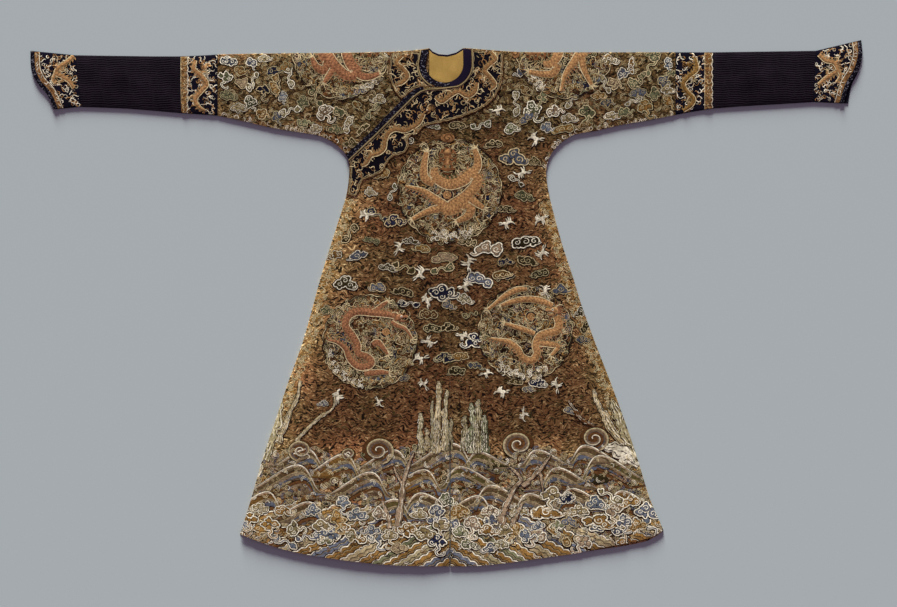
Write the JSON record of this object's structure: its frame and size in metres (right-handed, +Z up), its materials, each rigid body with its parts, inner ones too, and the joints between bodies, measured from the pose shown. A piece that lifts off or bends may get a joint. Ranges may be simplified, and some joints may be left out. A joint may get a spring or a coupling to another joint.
{
  "type": "festive court robe",
  "caption": "Chinese festive court robe with dragon roundels, a slanting closing edge and flared horse-hoof cuffs, laid out flat on its back.",
  "frame": {"origin": "on the surface the robe lies on, below the middle of its outline", "axes": "+X towards the wearer's left sleeve, +Y towards the neck, +Z up from the surface, out of the front of the robe"},
  "size_m": [2.245, 1.42, 0.0102],
  "materials": {
    "brocade": "embroidered silk satin",
    "navy_brocade": "navy silk with gold brocade",
    "dark_silk": "dark ribbed silk",
    "binding": "dark patterned silk binding",
    "cord": "tan silk cord",
    "lining": "yellow silk"
  },
  "bodies": {
    "root": {"right_body": "brocade", "left_body": "brocade", "overlap": "brocade", "band_right": "navy_brocade", "band_left": "navy_brocade", "lower_sleeve_right": "dark_silk", "lower_sleeve_left": "dark_silk", "cuff_right": "navy_brocade", "cuff_left": "navy_brocade", "cuff_binding_right": "binding", "cuff_binding_left": "binding", "neck_binding_right": "binding", "neck_binding_left": "binding", "back_neck_binding": "binding", "closure_binding": "binding", "collar_facing": "navy_brocade", "collar_facing_under": "navy_brocade", "closure_cord": "cord", "neck_cord": "cord", "neck_lining": "lining"}
  },
  "joints": []
}
